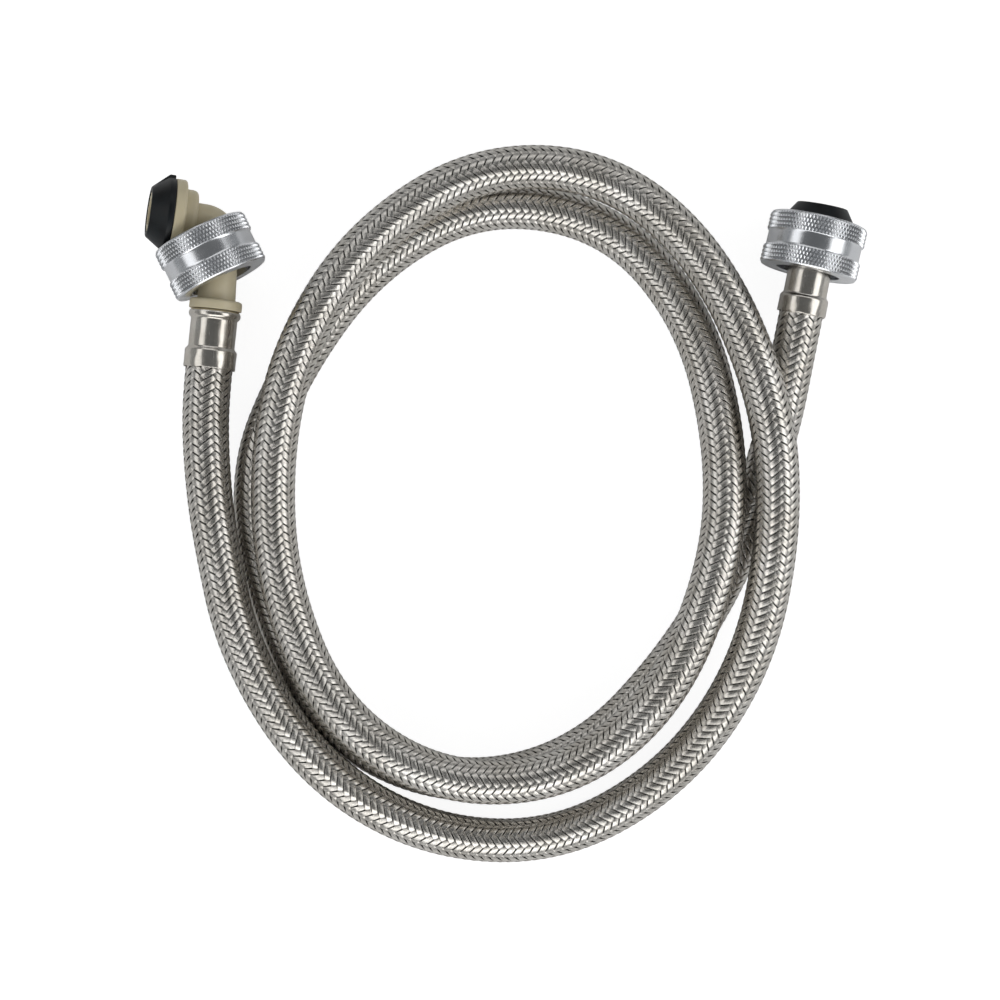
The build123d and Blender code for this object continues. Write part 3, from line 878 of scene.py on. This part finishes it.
# ---- cone washers ----
def flash_tab(radius, height, turn):
    """A thin tab of moulding flash stands out of the rim on one side."""
    aside = np.minimum(turn, 2 * pi - turn) * WASHER_R / TAB_WIDTH
    return radius + TAB_HEIGHT * np.exp(-(aside**2)) * (radius > WASHER_R - 0.3 * MM), height


def make_washer(name, origin, axis, face, body, material, change=None):
    """A rubber cone with a short cylindrical rim."""
    base = face + WASHER_GAP
    corners = [
        (NOZZLE_R + WASHER_GAP, base),
        (WASHER_R, base),
        (WASHER_R, face + WASHER_RIM),
        (WASHER_TIP_R, face + WASHER_HEIGHT),
        (NOZZLE_R + WASHER_GAP, face + WASHER_HEIGHT),
    ]
    grid = turned(origin, axis, softened(corners, WASHER_EDGE, 4), 240, change)
    mesh = grid_mesh(name + "_cone", grid, joined_rows=True)
    return piece(name + "_cone", mesh, material, body, name, sharp=radians(50))


# ---- floor and light ----
def make_floor():
    """A plain white sheet under the part."""
    half = FLOOR_HALF
    corners = [(-half, -half, 0), (half, -half, 0), (half, half, 0), (-half, half, 0)]
    data = bpy.data.meshes.new("floor")
    data.from_pydata(corners, [], [(0, 1, 2, 3)])
    floor = bpy.data.objects.new("floor", data)
    floor.location.z = -FLOOR_DROP
    shader = Shader("floor_white")
    shader.set(Roughness=0.9, Specular_IOR_Level=0.1, Emission_Color=(1, 1, 1, 1))
    seen = shader.nodes.new("ShaderNodeLightPath").outputs["Is Camera Ray"]
    shader.link(shader.spread(seen, 0.85, 0.3, span=(0, 1)), "Base Color")
    shader.link(shader.spread(seen, 0.02, 0.9, span=(0, 1)), "Emission Strength")
    data.materials.append(shader.material)
    bpy.context.scene.collection.objects.link(floor)


def make_panel(name, tilt, toward, size, strength):
    """A soft panel that faces the coil. tilt is from the vertical, toward is its heading."""
    data = bpy.data.lights.new(name, "AREA")
    data.shape = "RECTANGLE"
    data.size, data.size_y = size
    data.energy = strength * size[0] * size[1] * pi
    light = bpy.data.objects.new(name, data)
    tilt, heading = radians(tilt), radians(toward)
    out = Vector((sin(tilt) * cos(heading), sin(tilt) * sin(heading), cos(tilt)))
    light.location = PANEL_TARGET + out * PANEL_DISTANCE
    light.rotation_euler = out.to_track_quat("Z", "Y").to_euler()
    bpy.context.scene.collection.objects.link(light)


def make_world():
    """An even pale surround, darker overhead."""
    world = bpy.data.worlds.new("studio")
    world.use_nodes = True
    nodes, links = world.node_tree.nodes, world.node_tree.links
    direction = nodes.new("ShaderNodeTexCoord").outputs["Generated"]
    parts = nodes.new("ShaderNodeSeparateXYZ")
    links.new(direction, parts.inputs["Vector"])

    def fade(value, start, end, low, high):
        node = nodes.new("ShaderNodeMapRange")
        node.interpolation_type = "SMOOTHSTEP"
        node.inputs["From Min"].default_value = start
        node.inputs["From Max"].default_value = end
        node.inputs["To Min"].default_value = low
        node.inputs["To Max"].default_value = high
        links.new(value, node.inputs["Value"])
        return node.outputs["Result"]

    product = nodes.new("ShaderNodeMath")
    product.operation = "MULTIPLY"
    links.new(fade(parts.outputs["Z"], 0.0, 0.75, HORIZON_LIGHT, ZENITH_LIGHT), product.inputs[0])
    links.new(fade(parts.outputs["Y"], 0.1, 0.9, 1.0, FAR_SIDE), product.inputs[1])
    background = nodes["Background"]
    background.inputs["Color"].default_value = (0.95, 0.98, 1.0, 1)
    links.new(product.outputs["Value"], background.inputs["Strength"])
    bpy.context.scene.world = world


make_camera()
liner = make_liner(liner_rubber())
strands = make_strands(read_route(), braid_steel())

chrome = nut_chrome()
make_nut("straight_nut_shell", MOUNTS["straight_coupling"], "straight_coupling_nut", chrome)
make_nut("elbow_nut_shell", MOUNTS["elbow_coupling"], "elbow_coupling_nut", chrome)
crimped_steel = ferrule_steel()
make_ferrule("straight_ferrule", STRAIGHT_ORIGIN, STRAIGHT_AXIS, STRAIGHT_FERRULE_TOP,
             STRAIGHT_STEP, STRAIGHT_MOUTH, STRAIGHT_BARREL_R, STRAIGHT_SKIRT_R, crimped_steel)
make_ferrule("elbow_ferrule", ELBOW_CORNER, LEG_AXIS, ELBOW_FERRULE_TOP,
             ELBOW_STEP, ELBOW_MOUTH, ELBOW_BARREL_R, ELBOW_SKIRT_R, crimped_steel)
make_stem(stem_steel())
make_elbow(elbow_plastic())
rubber = washer_rubber()
make_washer("straight_cone_washer", STRAIGHT_ORIGIN, STRAIGHT_AXIS, STRAIGHT_FLANGE_FACE,
            "straight_washer", rubber)
make_washer("elbow_cone_washer", ELBOW_CORNER, OUTLET_AXIS, ELBOW_FLANGE_FACE,
            "elbow_washer", rubber, flash_tab)

make_floor()
make_world()
make_panel("panel_right", tilt=54, toward=0, size=(1.2, 0.55), strength=1.7)
make_panel("panel_left", tilt=48, toward=180, size=(1.2, 0.45), strength=1.2)
make_panel("panel_front", tilt=50, toward=-90, size=(1.2, 0.55), strength=2.1)
make_panel("panel_back", tilt=52, toward=90, size=(1.2, 0.45), strength=0.8)
bpy.context.scene.view_settings.view_transform = "Standard"
